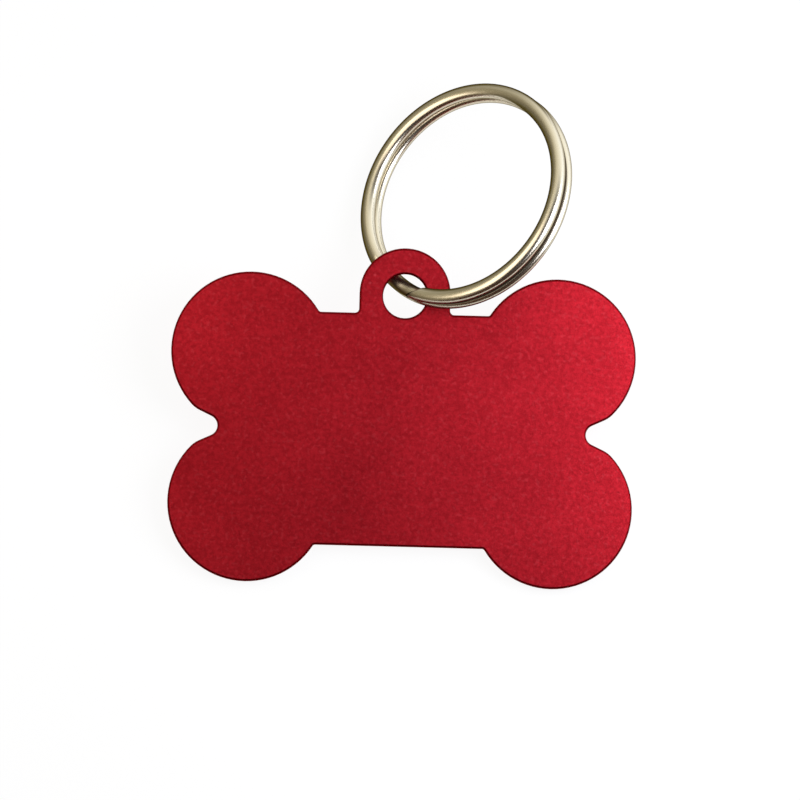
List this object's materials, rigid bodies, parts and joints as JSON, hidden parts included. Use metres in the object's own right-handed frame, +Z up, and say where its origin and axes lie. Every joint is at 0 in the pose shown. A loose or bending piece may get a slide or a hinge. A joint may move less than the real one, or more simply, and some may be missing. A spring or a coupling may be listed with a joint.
{
  "type": "pet id tag",
  "caption": "Bone-shaped flat metal pet tag with a holed ear, threaded on a split ring that hangs it from a collar.",
  "frame": {"origin": "on the table, under the middle of the object's box", "axes": "+Z up from the table, +Y from the tag's lower lobes towards the ear and ring, +X along the bone's length"},
  "size_m": [0.038, 0.0412, 0.012],
  "materials": {
    "red_anodised_aluminium": "red anodised over a fine blasted satin",
    "nickel_plated_steel": "bright nickel plate, slightly warm"
  },
  "bodies": {
    "ring": {"split_ring": "nickel_plated_steel"},
    "tag": {"tag_plate": "red_anodised_aluminium"}
  },
  "joints": [
    {"name": "tag_swing", "type": "hinge", "parent": "ring", "child": "tag", "pos_m": [0, 0.00277, 0.00459], "axis": [0, -0.1731, 0.9849], "range_deg": [-118, 57]}
  ]
}
